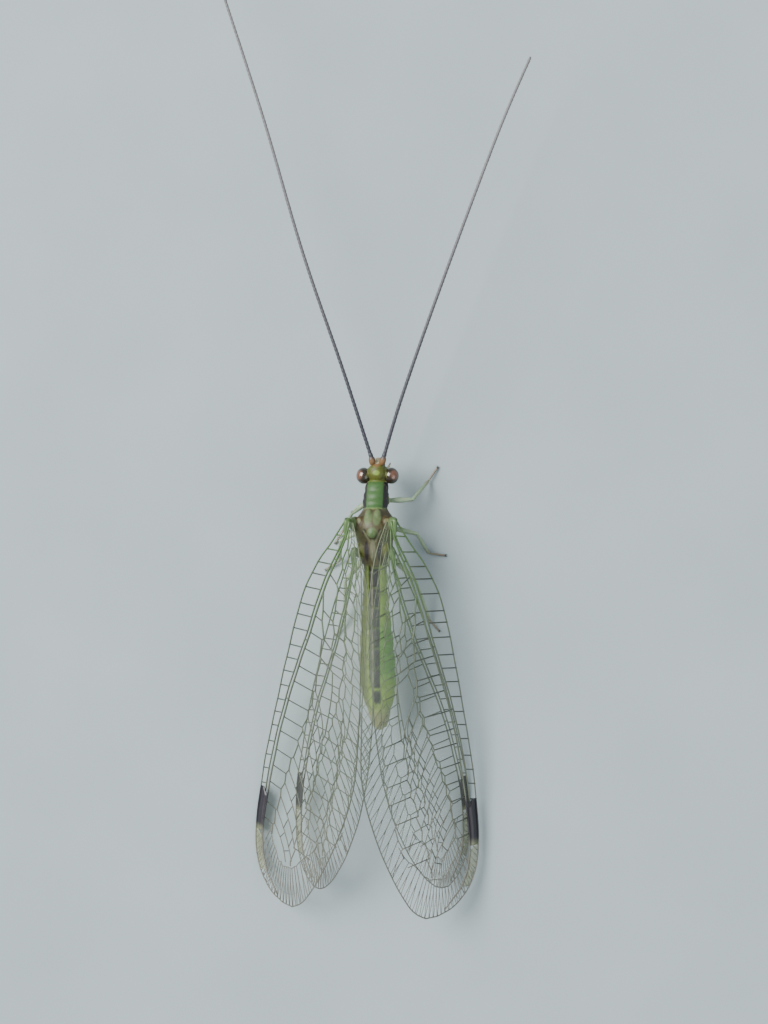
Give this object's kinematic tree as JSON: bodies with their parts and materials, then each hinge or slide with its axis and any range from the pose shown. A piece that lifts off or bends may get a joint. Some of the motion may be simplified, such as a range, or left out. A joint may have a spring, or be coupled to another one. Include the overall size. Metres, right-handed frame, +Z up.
{
  "type": "green lacewing, still life-size model",
  "caption": "Still, life-size green lacewing at rest: long antennae forward, roofed net-veined wings, slender legs on the floor.",
  "frame": {"origin": "middle of the footprint's bounding box, on the floor plane that the feet and wing edges rest on", "axes": "+Z up, head towards -Y, wing tips towards +Y, the insect's left side towards +X"},
  "size_m": [0.0154, 0.0458, 0.0051],
  "materials": {
    "body": "satin",
    "head": "satin",
    "eye": "glossy",
    "antenna": "satin",
    "wing": "clear, faintly iridescent",
    "leg": "translucent satin"
  },
  "bodies": {
    "root": {"head": "head", "eye_left": "eye", "eye_right": "eye", "antenna_left": "antenna", "antenna_right": "antenna", "prothorax": "body", "mesothorax": "body", "metathorax": "body", "abdomen": "body", "forewing_left": "wing", "forewing_right": "wing", "hindwing_left": "wing", "hindwing_right": "wing", "foreleg_left": "leg", "foreleg_right": "leg", "midleg_left": "leg", "midleg_right": "leg", "hindleg_left": "leg", "hindleg_right": "leg"}
  },
  "joints": []
}
